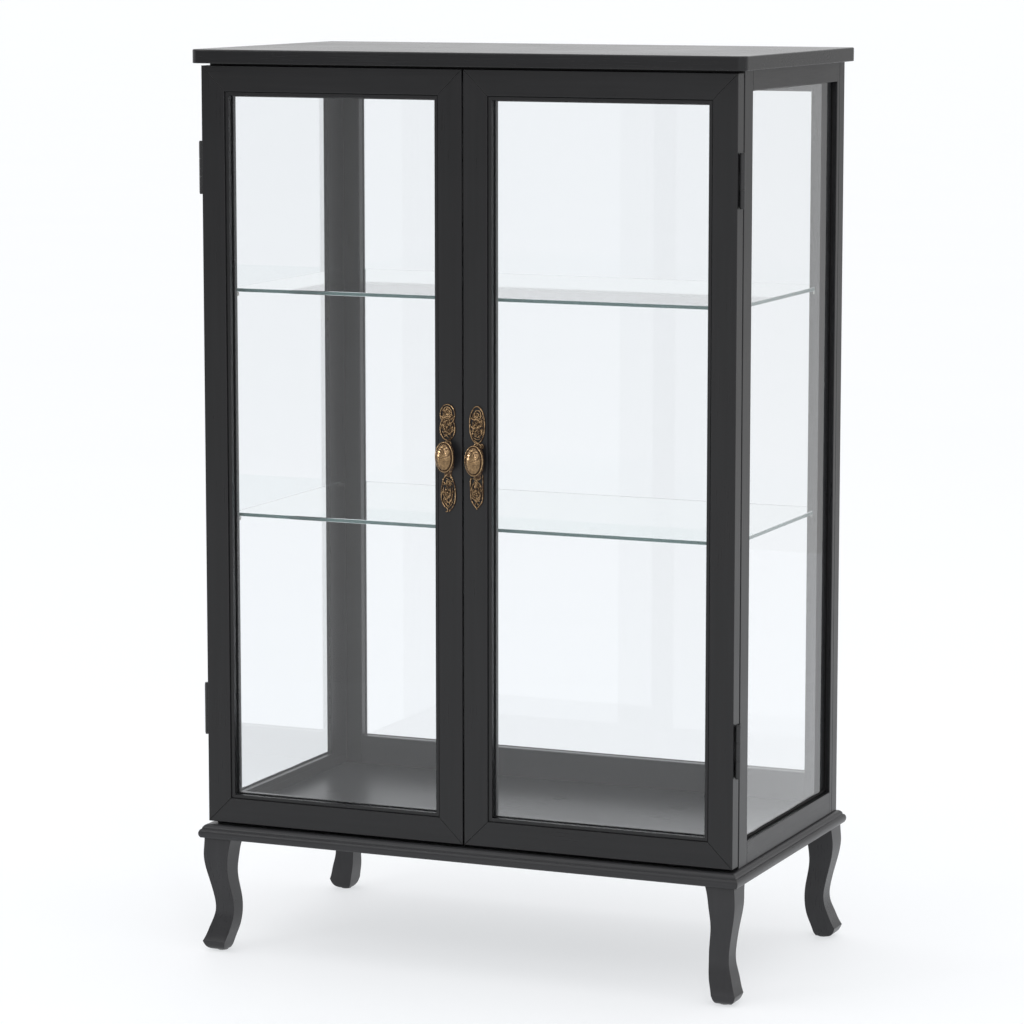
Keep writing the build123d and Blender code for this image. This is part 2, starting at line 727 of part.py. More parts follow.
for side, name in ((-1, "left_door"), (1, "right_door")):
    frame = door_frame(side)
    hinge_member, meeting_member = ("left", "right") if side < 0 else ("right", "left")
    handle_x = side * (door_meeting_gap / 2 + handle_inset)
    door_face_plane = Plane(origin=(0, door_front, 0), x_dir=(1, 0, 0), z_dir=(0, -1, 0))
    door_back_plane = Plane(origin=(0, door_back, 0), x_dir=(-1, 0, 0), z_dir=(0, 1, 0))

    with BuildPart() as hinge_stile:
        add(frame.member(hinge_member).part)
        for height in hinge_heights:
            with Locations((side * (body_side - leaf_thick / 2), edge_plate_middle, height)):
                Box(leaf_thick, edge_plate_width, hinge_length, mode=Mode.SUBTRACT)
        with BuildSketch(edge_plane(side)):
            with Locations(*edge_spots(side)):
                Circle(hinge_screw_radius + pilot_play)
        extrude(amount=-(hinge_screw_length + pilot_spare), mode=Mode.SUBTRACT)
    save(hinge_stile, f"{name}_hinge_stile")

    screw_hole_radius = knob_screw_radius + knob_screw_play
    screw_hole = (door_face_plane, [(handle_x, handle_height)], screw_hole_radius, door_thick)
    save(frame.member(meeting_member, [screw_hole]), f"{name}_meeting_stile")
    save(frame.member("top"), f"{name}_top_rail")
    save(frame.member("bottom"), f"{name}_bottom_rail")
    save(frame.pane(), f"{name}_glass")

    with BuildPart() as door_beads:
        with BuildSketch(frame.inside_face()):
            frame.draw_beads(door_bead_show)
        extrude(amount=frame.bead_thick)
    save(door_beads, f"{name}_glass_beads")

    with BuildPart() as handle_plate:
        with BuildSketch(door_face_plane):
            with Locations((handle_x, handle_height)):
                add(plate_outline.sketch)
        extrude(amount=plate_thick)
    save(handle_plate, f"{name}_handle_plate")

    with BuildPart() as knob:
        with BuildSketch(door_face_plane.offset(plate_thick)):
            with Locations((handle_x, handle_height)):
                Circle(knob_stem_radius)
        extrude(amount=stem_length + stem_root)
        with BuildSketch(door_face_plane.offset(plate_thick + stem_length)):
            with Locations((handle_x, handle_height)):
                Ellipse(knob_width / 2, knob_height / 2)
        extrude(amount=knob_body)
        rims = knob.edges().group_by(Axis.Y)
        fillet(rims[0], radius=knob_crown_radius)
        with BuildSketch(door_face_plane.offset(plate_thick)):
            with Locations((handle_x, handle_height)):
                Circle(knob_screw_radius)
        extrude(amount=stem_length, mode=Mode.SUBTRACT)
    save(knob, f"{name}_knob")

    with BuildPart() as knob_screw:
        with BuildSketch(door_back_plane):
            with Locations((-handle_x, handle_height)):
                Circle(knob_screw_head)
        extrude(amount=knob_screw_head_height)
        fillet(knob_screw.edges().group_by(Axis.Y)[-1], radius=knob_screw_head_edge)
        with BuildSketch(door_back_plane):
            with Locations((-handle_x, handle_height)):
                Circle(knob_screw_radius)
        extrude(amount=-(door_thick + plate_thick + stem_length - knob_screw_spare))
    save(knob_screw, f"{name}_knob_screw")

    with BuildPart() as door_leaves:
        for height in hinge_heights:
            with Locations((side * (body_side - leaf_thick / 2), edge_plate_middle, height)):
                Box(leaf_thick, edge_plate_width, hinge_length)
            with BuildSketch(Plane.XY.offset(height - knuckle_half)):
                with Locations((side * pivot_x, pivot_y)):
                    Circle(knuckle_radius)
                web_middle = (body_side - leaf_thick + pivot_x) / 2
                with Locations((side * web_middle, pivot_y)):
                    Rectangle(pivot_x - body_side + leaf_thick, leaf_thick)
                with Locations((side * pivot_x, pivot_y)):
                    Circle(hinge_bore_radius, mode=Mode.SUBTRACT)
            extrude(amount=knuckle_length)
        with Locations(*edge_planes(side)):
            add(countersink.part, mode=Mode.SUBTRACT)
    save(door_leaves, f"{name}_hinge_leaves")

    with BuildPart() as door_screws:
        with Locations(*edge_planes(side)):
            add(countersunk_screw.part)
    save(door_screws, f"{name}_hinge_screws")

    with BuildPart() as strike_plate:
        strike_z = inner_top_underside - catch_height / 2
        with Locations((side * catch_x, door_back + strike_thick / 2, strike_z)):
            Box(catch_width - 2 * strike_margin, strike_thick, catch_height)
    save(strike_plate, f"{name}_strike_plate")
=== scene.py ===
"""China cabinet: two glazed doors, glazed sides and back, glass shelves, cabriole legs and brass pulls."""

import math
import random

import bmesh
import bpy
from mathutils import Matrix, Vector


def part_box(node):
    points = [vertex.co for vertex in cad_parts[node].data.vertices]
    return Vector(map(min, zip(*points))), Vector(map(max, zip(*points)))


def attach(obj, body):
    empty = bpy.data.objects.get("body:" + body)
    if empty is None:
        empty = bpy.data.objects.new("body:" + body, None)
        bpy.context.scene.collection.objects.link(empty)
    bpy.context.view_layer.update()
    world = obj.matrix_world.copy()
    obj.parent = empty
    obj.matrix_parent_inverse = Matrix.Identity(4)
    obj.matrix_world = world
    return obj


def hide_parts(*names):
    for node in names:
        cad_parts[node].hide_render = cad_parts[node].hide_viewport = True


MM = 0.001

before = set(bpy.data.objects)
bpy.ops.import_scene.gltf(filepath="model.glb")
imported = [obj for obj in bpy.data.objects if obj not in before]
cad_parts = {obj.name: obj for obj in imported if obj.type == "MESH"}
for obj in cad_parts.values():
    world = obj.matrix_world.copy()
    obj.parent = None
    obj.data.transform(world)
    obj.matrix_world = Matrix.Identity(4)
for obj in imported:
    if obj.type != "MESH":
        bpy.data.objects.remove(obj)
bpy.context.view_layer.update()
scene = bpy.context.scene


# ---------------------------------------------------------------- node helper
class Shade:
    """A material under construction. node() adds a node, sets its sockets or links them, and returns it."""

    def __init__(self, name):
        self.material = bpy.data.materials.new(name)
        self.material.use_nodes = True
        self.tree = self.material.node_tree
        self.tree.nodes.clear()
        self.output = self.tree.nodes.new("ShaderNodeOutputMaterial")
        self.shader = self.node("ShaderNodeBsdfPrincipled")
        self.surface(self.shader.outputs[0])

    def surface(self, socket):
        self.tree.links.new(socket, self.output.inputs["Surface"])

    def node(self, kind, sockets=None, **settings):
        made = self.tree.nodes.new(kind)
        for key, value in settings.items():
            setattr(made, key, value)
        self.feed(made, sockets or {})
        return made

    def feed(self, node, sockets):
        for key, value in sockets.items():
            if isinstance(value, bpy.types.NodeSocket):
                self.tree.links.new(value, node.inputs[key])
            else:
                node.inputs[key].default_value = value

    def principled(self, **sockets):
        self.feed(self.shader, {key.replace("_", " "): value for key, value in sockets.items()})

    def place(self, scale=(1, 1, 1)):
        """Object coordinates, in metres, times a scale for each axis."""
        coords = self.node("ShaderNodeTexCoord").outputs["Object"]
        return self.node("ShaderNodeMapping", {"Vector": coords, "Scale": scale}).outputs[0]

    def noise(self, vector, scale, detail=3.0, roughness=0.5, distortion=0.0):
        return self.node(
            "ShaderNodeTexNoise",
            {
                "Vector": vector,
                "Scale": scale,
                "Detail": detail,
                "Roughness": roughness,
                "Distortion": distortion,
            },
        ).outputs["Fac"]

    def voronoi(self, vector, scale, feature="F1"):
        return self.node(
            "ShaderNodeTexVoronoi", {"Vector": vector, "Scale": scale}, feature=feature
        ).outputs["Distance"]

    def spread(self, value, low, high, to_low, to_high):
        """value from low..high mapped to to_low..to_high, clamped."""
        return self.node(
            "ShaderNodeMapRange",
            {
                "Value": value,
                "From Min": low,
                "From Max": high,
                "To Min": to_low,
                "To Max": to_high,
            },
        ).outputs[0]

    def maths(self, operation, a, b=0.0):
        made = self.node("ShaderNodeMath", {0: a}, operation=operation)
        self.feed(made, {1: b})
        return made.outputs[0]

    def mix(self, share, a, b):
        made = self.node("ShaderNodeMix", data_type="RGBA")
        self.feed(made, {0: share, 6: a, 7: b})
        return made.outputs[2]

    def bump(self, height, strength, distance, normal=None):
        sockets = {"Height": height, "Strength": strength, "Distance": distance}
        if normal is not None:
            sockets["Normal"] = normal
        return self.node("ShaderNodeBump", sockets).outputs[0]

    def worn_edge(self, radius, reach=0.55):
        """How near the surface is to an arris, 0 to 1, and the normal rounded over it."""
        rounded = self.node("ShaderNodeBevel", {"Radius": radius}, samples=6).outputs[0]
        flat = self.node("ShaderNodeNewGeometry").outputs["Normal"]
        dot = self.node("ShaderNodeVectorMath", {0: rounded, 1: flat}, operation="DOT_PRODUCT")
        return self.spread(dot.outputs["Value"], 1.0, reach, 0.0, 1.0), rounded

    def lets_light_through(self, tint):
        """Glass bends what the eye sees through it; lamp light and reflected rays pass straight through."""
        path = self.node("ShaderNodeLightPath")
        clear = self.node("ShaderNodeBsdfTransparent", {"Color": (*tint, 1)}).outputs[0]
        shown = self.shader.outputs[0]
        for ray in ("Is Reflection Ray", "Is Shadow Ray"):
            shown = self.node(
                "ShaderNodeMixShader", {0: path.outputs[ray], 1: shown, 2: clear}
            ).outputs[0]
        self.surface(shown)


# ---------------------------------------------------------------- materials
def painted_wood(name, grain, rough_low=0.27, rough_high=0.33, lift=1.0):
    """Satin charcoal paint over fine wood grain that runs along one axis."""
    shade = Shade(name)
    across = [1.0, 1.0, 1.0]
    across[grain] = 0.035
    along = shade.place(across)
    pores = shade.noise(along, 620, 5, 0.62, 0.15)
    strokes = shade.noise(along, 190, 3, 0.5)
    patches = shade.noise(shade.place(), 9, 4, 0.55)
    peel = shade.noise(shade.place(), 900, 2, 0.5)
    arris, rounded = shade.worn_edge(0.0011)
    chatter = shade.spread(shade.noise(shade.place(), 160, 4, 0.7), 0.42, 0.7, 0.0, 1.0)
    wear = shade.maths("MULTIPLY", arris, shade.spread(chatter, 0.0, 1.0, 0.25, 1.0))
    # lift above 1 makes a lighter copy of the paint: painted light standing in for the bright floor lighting
    # the low pieces.
    dark, mid, pale = (
        (*(level * lift for level in colour), 1)
        for colour in ((0.0095, 0.0095, 0.0102), (0.0135, 0.0135, 0.0145), (0.0155, 0.0155, 0.0165))
    )
    paint = shade.mix(patches, dark, mid)
    paint = shade.mix(shade.spread(strokes, 0.3, 0.75, 0.0, 0.55), paint, pale)
    paint = shade.mix(shade.maths("MULTIPLY", wear, 0.8), paint, (0.042, 0.041, 0.040, 1))
    rough = shade.spread(patches, 0.3, 0.7, rough_low, rough_high)
    rough = shade.maths("ADD", rough, shade.spread(pores, 0.3, 0.75, -0.02, 0.05))
    rough = shade.maths("ADD", rough, shade.maths("MULTIPLY", wear, 0.08))
    relief = shade.maths("ADD", shade.maths("MULTIPLY", pores, 0.7), shade.maths("MULTIPLY", strokes, 0.5))
    relief = shade.maths("ADD", relief, shade.maths("MULTIPLY", peel, 0.16))
    normal = shade.bump(relief, 0.07, 0.0004, rounded)
    shade.principled(Base_Color=paint, Roughness=rough, Normal=normal, Specular_IOR_Level=0.3)
    return shade.material


def pane_glass():
    """Clear float glass, faintly blue."""
    shade = Shade("pane_glass")
    shade.principled(
        Base_Color=(0.952, 0.962, 0.968, 1),
        Roughness=0.0,
        IOR=1.5,
        Transmission_Weight=1.0,
    )
    shade.lets_light_through((0.975, 0.98, 0.985))
    return shade.material


def shelf_glass():
    """Clear glass whose ground edges are deep sea green, because the light has come a long way through it."""
    shade = Shade("shelf_glass")
    normal = shade.node("ShaderNodeNewGeometry").outputs["Normal"]
    height = shade.node("ShaderNodeSeparateXYZ", {0: normal}).outputs["Z"]
    face = shade.maths("GREATER_THAN", shade.maths("ABSOLUTE", height), 0.5)
    ground = shade.noise(shade.place(), 700, 3, 0.6)
    edge = shade.mix(ground, (0.022, 0.058, 0.056, 1), (0.045, 0.10, 0.096, 1))
    shade.principled(
        Base_Color=shade.mix(face, edge, (0.975, 0.99, 0.988, 1)),
        Roughness=shade.spread(face, 0.0, 1.0, 0.28, 0.0),
        IOR=1.5,
        Transmission_Weight=shade.spread(face, 0.0, 1.0, 0.25, 1.0),
    )
    shade.lets_light_through((0.88, 0.93, 0.925))
    return shade.material


RIDGE_START = 0.76


def antique_brass(name, rough_hollow, rough_ridge, blotch, grit):
    """Brass with brown patina and painted shade in the hollows, worn bright where the ridge attribute is
    high.
    """
    shade = Shade(name)
    ridge = shade.node("ShaderNodeAttribute", attribute_name="ridge").outputs["Fac"]
    place = shade.place()
    mottle = shade.noise(place, 330, 5, 0.65, 0.4)
    specks = shade.noise(place, 1500, 3, 0.6)
    # The ridge attribute is partly real wear and patina, partly painted shade: hollows, grooves and
    # door-facing sides darker, crests brighter.
    wear_and_shade = shade.spread(ridge, RIDGE_START, 1.0, 0.0, 0.85)
    blotches = shade.spread(mottle, 0.35, 0.65, -blotch, 0.6 * blotch)
    brighter_share = shade.maths("ADD", wear_and_shade, blotches)
    brighter_share = shade.spread(brighter_share, 0.0, 1.0, 0.0, 1.0)
    patina = shade.mix(mottle, (0.012, 0.006, 0.003, 1), (0.075, 0.038, 0.016, 1))
    bright = shade.mix(specks, (0.30, 0.185, 0.09, 1), (0.56, 0.39, 0.22, 1))
    rough = shade.spread(brighter_share, 0.0, 1.0, rough_hollow, rough_ridge)
    shade.principled(
        Base_Color=shade.mix(brighter_share, patina, bright),
        Metallic=shade.spread(brighter_share, 0.0, 0.6, 0.65, 1.0),
        Roughness=shade.maths("ADD", rough, shade.spread(specks, 0.3, 0.7, -0.04, 0.06)),
        Normal=shade.bump(shade.maths("ADD", mottle, shade.maths("MULTIPLY", specks, 0.4)), grit, 0.0003),
    )
    return shade.material


def metal(name, dark, light, rough, metallic=1.0, brushed=(1, 1, 1), edge=None):
    """Plain metal with brushed or cast texture, scratches and edges worn lighter by rubbing."""
    shade = Shade(name)
    streaks = shade.noise(shade.place(brushed), 900, 4, 0.6)
    scuffs = shade.noise(shade.place(), 140, 4, 0.7)
    arris, rounded = shade.worn_edge(0.0005)
    share = shade.maths("MULTIPLY", streaks, shade.spread(scuffs, 0.3, 0.7, 0.4, 1.0))
    colour = shade.mix(share, dark, light)
    if edge:
        brighter_share = shade.maths("MULTIPLY", arris, shade.spread(scuffs, 0.4, 0.65, 0.1, 0.8))
        colour = shade.mix(brighter_share, colour, edge)
    shade.principled(
        Base_Color=colour,
        Metallic=metallic,
        Roughness=shade.spread(scuffs, 0.25, 0.75, rough - 0.07, rough + 0.1),
        Normal=shade.bump(streaks, 0.12, 0.0002, rounded),
    )
    return shade.material


def moulded_plastic(name, colour, lighter):
    """Fine-textured moulded plastic, scuffed lighter in places."""
    shade = Shade(name)
    spark = shade.voronoi(shade.place(), 1800)
    scuffs = shade.noise(shade.place(), 120, 5, 0.7)
    arris, rounded = shade.worn_edge(0.0005)
    scuffed = shade.spread(scuffs, 0.45, 0.75, 0.0, 0.6)
    share = shade.maths("ADD", scuffed, shade.maths("MULTIPLY", arris, 0.3))
    shade.principled(
        Base_Color=shade.mix(share, colour, lighter),
        Roughness=shade.spread(scuffs, 0.3, 0.7, 0.42, 0.6),
        Normal=shade.bump(spark, 0.2, 0.0002, rounded),
    )
    return shade.material


wood = {axis: painted_wood(f"painted_wood_{'xyz'[axis]}", axis) for axis in (0, 1, 2)}
# Legs, mouldings, floor panel and back bottom rail use a copy of the paint twice as light: painted light from
# the floor.
floor_lit_paint = {axis: painted_wood(f"painted_wood_floor_lit_{'xyz'[axis]}", axis, lift=2.0) for axis in (0, 1, 2)}
top_paint = painted_wood("painted_wood_top", 0, 0.22, 0.27)
brass = antique_brass("antique_brass", 0.5, 0.22, 0.8, 0.35)
knob_brass = antique_brass("antique_brass_knob", 0.26, 0.16, 0.3, 0.08)
looks = {
    "pane_glass": pane_glass(),
    "shelf_glass": shelf_glass(),
    "antique_brass": brass,
    "hinge_metal": metal(
        "hinge_metal", (0.008, 0.008, 0.009, 1), (0.02, 0.02, 0.021, 1), 0.42, 0.0, (1, 1, 0.1),
        (0.09, 0.085, 0.08, 1),
    ),
    "screw_steel": metal(
        "screw_steel", (0.06, 0.06, 0.06, 1), (0.2, 0.2, 0.2, 1), 0.36, 1.0, (1, 1, 1), (0.4, 0.4, 0.4, 1)
    ),
    "pin_metal": metal(
        "pin_metal", (0.42, 0.42, 0.4, 1), (0.62, 0.61, 0.58, 1), 0.25, 1.0, (0.1, 1, 1), (0.7, 0.7, 0.68, 1)
    ),
    "strike_steel": metal(
        "strike_steel", (0.36, 0.37, 0.38, 1), (0.56, 0.57, 0.58, 1), 0.32, 1.0, (0.08, 1, 1),
        (0.68, 0.68, 0.68, 1),
    ),
    "catch_plastic": moulded_plastic("catch_plastic", (0.012, 0.012, 0.012, 1), (0.05, 0.05, 0.05, 1)),
    "glide_plastic": moulded_plastic("glide_plastic", (0.02, 0.02, 0.02, 1), (0.11, 0.11, 0.1, 1)),
}


def grain_axis(name):
    """The axis a painted piece's grain runs along: its length."""
    if "stile" in name or name.startswith("leg") or "batten" in name:
        return 2
    if name in ("moulding_left", "moulding_right") or ("side" in name and "rail" in name):
        return 1
    return 0


for name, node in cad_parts.items():
    base = node.material_slots[0].material.name.split(".")[0]
    paints = floor_lit_paint if name.startswith(("leg", "moulding", "floor_panel", "back_bottom")) else wood
    look = looks.get(base) or (top_paint if name == "top_panel" else paints[grain_axis(name)])
    for place in node.material_slots:
        place.material = look


# ---------------------------------------------------------------- mesh helpers
def new_piece(name, mesh_maker, look, smooth=True):
    """An object from a function that fills a bmesh."""
    bm = bmesh.new()
    ridge = bm.verts.layers.float.new("ridge")
    mesh_maker(bm, ridge)
    bmesh.ops.recalc_face_normals(bm, faces=bm.faces)
    mesh = bpy.data.meshes.new(name)
    bm.to_mesh(mesh)
    bm.free()
    for polygon in mesh.polygons:
        polygon.use_smooth = smooth
    mesh.materials.append(look)
    made = bpy.data.objects.new(name, mesh)
    scene.collection.objects.link(made)
    return made


def smooth_path(points, closed=False, steps=7):
    """A Catmull-Rom curve through the points."""
    points = [Vector(p) for p in points]
    count = len(points)
    curve = []
    spans = count if closed else count - 1
    for i in range(spans):
        if closed:
            a, b, c, d = (points[(i + k - 1) % count] for k in range(4))
        else:
            b, c = points[i], points[i + 1]
            a = points[i - 1] if i else b * 2 - c
            d = points[i + 2] if i + 2 < count else c * 2 - b
        for s in range(steps):
            t = s / steps
            curve.append(
                0.5
                * (
                    2 * b
                    + (c - a) * t
                    + (2 * a - 5 * b + 4 * c - d) * t * t
                    + (3 * b - a - 3 * c + d) * t * t * t
                )
            )
    if not closed:
        curve.append(points[-1])
    return curve


def wire(bm, ridge, path, radius, closed=False, sides=8, rope=0.0, squash=1.15):
    """A cast wire along a path of (u, v, w) points in mm, w off the door; open ends taper."""
    count = len(path)
    rings = []
    for i, here in enumerate(path):
        if closed:
            ahead, behind = path[(i + 1) % count], path[i - 1]
        else:
            ahead, behind = path[min(i + 1, count - 1)], path[max(i - 1, 0)]
        along = (ahead - behind).normalized()
        out = Vector((0, 0, 1))
        side = along.cross(out).normalized()
        up = side.cross(along).normalized()
        share = 1.0
        if not closed:
            reach = min(i, count - 1 - i) / max(1, min(4, count // 3))
            share = min(1.0, math.sqrt(max(0.06, reach)))
        swell = radius * share * (1 + rope * math.sin(i * 2.1))
        ring = []
        for k in range(sides):
            turn = math.tau * k / sides
            spot = here + side * (math.cos(turn) * swell) + up * (math.sin(turn) * swell * squash)
            vert = bm.verts.new((spot.x * MM, -spot.z * MM, spot.y * MM))
            # Brighter on the face away from the door and on higher wire: partly wear, partly painted shade on
            # the side facing the door.
            vert[ridge] = min(1.0, max(0.0, 0.5 + 0.5 * math.sin(turn)) * (0.75 + 0.25 * here.z))
            ring.append(vert)
        rings.append(ring)
    for i in range(count if closed else count - 1):
        first, second = rings[i], rings[(i + 1) % count]
        for k in range(sides):
            bm.faces.new((first[k], first[(k + 1) % sides], second[(k + 1) % sides], second[k]))
    if not closed:
        bm.faces.new(rings[0])
        bm.faces.new(rings[-1])


BEAD_SQUASH = 0.8


def bead(bm, ridge, centre, radius, rows=6, sides=12):
    """A small cast boss, flattened against the plate."""
    u, v, w = centre
    rings = []
    for j in range(1, rows):
        tilt = math.pi * j / rows
        ring = []
        for k in range(sides):
            turn = math.tau * k / sides
            reach = radius * math.sin(tilt)
            rise = math.cos(tilt)
            across, up = u + reach * math.cos(turn), v + reach * math.sin(turn)
            vert = bm.verts.new((across * MM, -(w + rise * radius * BEAD_SQUASH) * MM, up * MM))
            # Brighter towards the top of the boss: partly wear, partly painted shade around its foot.
            vert[ridge] = min(1.0, max(0.0, 0.55 + 0.6 * rise))
            ring.append(vert)
        rings.append(ring)
    for first, second in zip(rings, rings[1:]):
        for k in range(sides):
            bm.faces.new((first[k], first[(k + 1) % sides], second[(k + 1) % sides], second[k]))
    bm.faces.new(rings[0])
    bm.faces.new(rings[-1])


def oval(cu, cv, ru, rv, wave=0.0, turns=2, phase=0.0, height=0.95, count=12):
    """Points of an oval ring that rises and dips so that it weaves with its neighbours."""
    return [
        (
            cu + ru * math.sin(math.tau * i / count),
            cv + rv * math.cos(math.tau * i / count),
            height + wave * math.sin(turns * math.tau * i / count + phase),
        )
        for i in range(count)
    ]


def scroll(cu, cv, start, end, angle, turns, tall=1.0, height=0.95, count=14):
    """Points of a spiral from radius start to radius end."""
    points = []
    for i in range(count):
        t = i / (count - 1)
        turn = math.radians(angle) + math.tau * turns * t
        reach = start + (end - start) * t
        points.append((cu + reach * math.cos(turn), cv + tall * reach * math.sin(turn), height + 0.25 * t))
    return points


def lift(points, height=0.95, wave=0.3, phase=0.0):
    """(u, v) points given a height that rises and dips along the way."""
    return [(u, v, height + wave * math.sin(1.7 * i + phase)) for i, (u, v) in enumerate(points)]


# ---------------------------------------------------------------- pierced pulls
LEFT_LOBES = ((-0.1, 48.2, 8.0, 9.8, 15), (-0.1, 33.0, 8.2, 11.0, 15), (0.8, -38.0, 7.6, 16.5, 22))
RIGHT_LOBES = ((0.0, 39.2, 8.4, 18.5, 28), (-0.6, -36.0, 6.8, 17.5, 22))
GOLDEN_TURN = 2.4


def filigree(lobes, seed):
    """Small cast curls that fill the lobes of a pull: (centre, half width, half height, how many) each."""
    draw = random.Random(seed)
    curls = []
    for cu, cv, ru, rv, count in lobes:
        for i in range(count):
            turn = i * GOLDEN_TURN + draw.uniform(-0.3, 0.3)
            reach = math.sqrt((i + 0.5) / count) * 0.8
            spot = (cu + ru * reach * math.cos(turn), cv + rv * reach * math.sin(turn))
            size, angle = draw.uniform(1.5, 2.5), draw.uniform(0, 360)
            turns = draw.choice((-1, 1)) * draw.uniform(0.9, 1.5)
            points = scroll(*spot, size, 0.4, angle, turns, height=0.75, count=9)
            curls.append((points, draw.uniform(0.34, 0.44), False))
    return curls


def left_pull():
    """Rings, strands and beads of the left-hand pull: (points, radius, closed)."""
    strands = [
        (oval(-0.1, 48.2, 9.1, 11.0, 0.32, 3, 0.3), 0.72, True),
        (oval(-0.1, 33.0, 9.4, 13.0, 0.32, 3, 2.4), 0.72, True),
        (oval(-0.4, 50.0, 5.3, 6.6, 0.2, 2, 1.0), 0.55, True),
        (scroll(0.6, 50.4, 3.3, 0.9, 200, -1.3, 1.15), 0.5, False),
        (oval(-0.6, 35.6, 4.5, 5.6, 0.2, 2, 0.0), 0.55, True),
        (
            lift(
                [(-8.6, 47.0), (-5.2, 43.2), (-1.0, 41.4), (3.6, 39.6), (6.6, 35.0),
                 (7.0, 30.0)],
            ),
            0.55,
            False,
        ),
        (
            lift(
                [(8.4, 46.5), (5.6, 43.6), (1.8, 42.0), (-3.8, 40.6), (-7.0, 36.5),
                 (-7.2, 31.5)],
                phase=2.0,
            ),
            0.55,
            False,
        ),
        (lift([(-6.6, 29.8), (-2.4, 29.2), (2.0, 27.4), (4.6, 23.8), (3.2, 19.2)]), 0.55, False),
        (lift([(7.4, 31.0), (4.6, 28.6), (0.2, 26.2), (-3.6, 24.0), (-5.0, 22.6)], phase=1.5), 0.52, False),
        (lift([(-5.8, 26.8), (-1.6, 25.0), (2.2, 22.0), (1.0, 17.6)], phase=0.7), 0.5, False),
        (lift([(-2.6, 46.6), (-0.2, 49.0), (2.6, 46.8), (4.4, 44.6)], phase=0.2), 0.45, False),
        # lower leaf
        (
            lift(
                [(0.6, -16.5), (-3.8, -20.5), (-7.0, -27.5), (-8.2, -36.0), (-7.8, -45.0), (-4.6, -52.0),
                 (-0.4, -55.4), (-0.6, -58.2), (-3.0, -58.4)],
                wave=0.2,
            ),
            0.7,
            False,
        ),
        (
            lift(
                [(2.4, -16.2), (5.4, -21.5), (8.6, -29.0), (9.8, -38.5), (9.0, -47.5), (5.6, -54.0),
                 (1.0, -58.8)],
                wave=0.2, phase=2.0,
            ),
            0.75,
            False,
        ),
        (
            lift(
                [(-5.2, -31.0), (-5.6, -39.0), (-2.0, -45.4), (1.2, -48.4), (4.6, -45.0),
                 (6.2, -38.0), (5.6, -29.5)],
            ),
            0.56,
            False,
        ),
        (
            lift(
                [(-2.4, -31.5), (-2.6, -38.0), (0.8, -43.4), (3.4, -38.2), (2.8, -30.0)],
                phase=1.0,
            ),
            0.52,
            False,
        ),
        (
            lift(
                [(-6.6, -45.6), (-2.4, -50.2), (0.8, -53.4), (4.6, -50.4), (7.4, -44.6)],
                phase=2.0,
            ),
            0.52,
            False,
        ),
        (oval(0.4, -50.0, 2.0, 1.8, 0.1, 2, 0.0, count=9), 0.42, True),
        (scroll(-5.2, -27.4, 2.4, 0.7, 80, 1.4), 0.5, False),
        (scroll(1.4, -26.4, 3.4, 0.8, 10, 1.5), 0.52, False),
        (lift([(-3.0, -21.0), (0.6, -22.6), (4.8, -25.4)], phase=0.4), 0.5, False),
    ]
    beads = [((-0.6, 34.2, 1.1), 1.55), ((-0.4, 41.4, 1.2), 0.9), ((-0.2, -37.4, 1.2), 1.25),
             ((-6.0, -23.2, 1.1), 1.0), ((4.4, -21.0, 1.1), 0.95), ((5.6, -25.0, 1.1), 1.0)]
    return strands + filigree(LEFT_LOBES, 11), beads


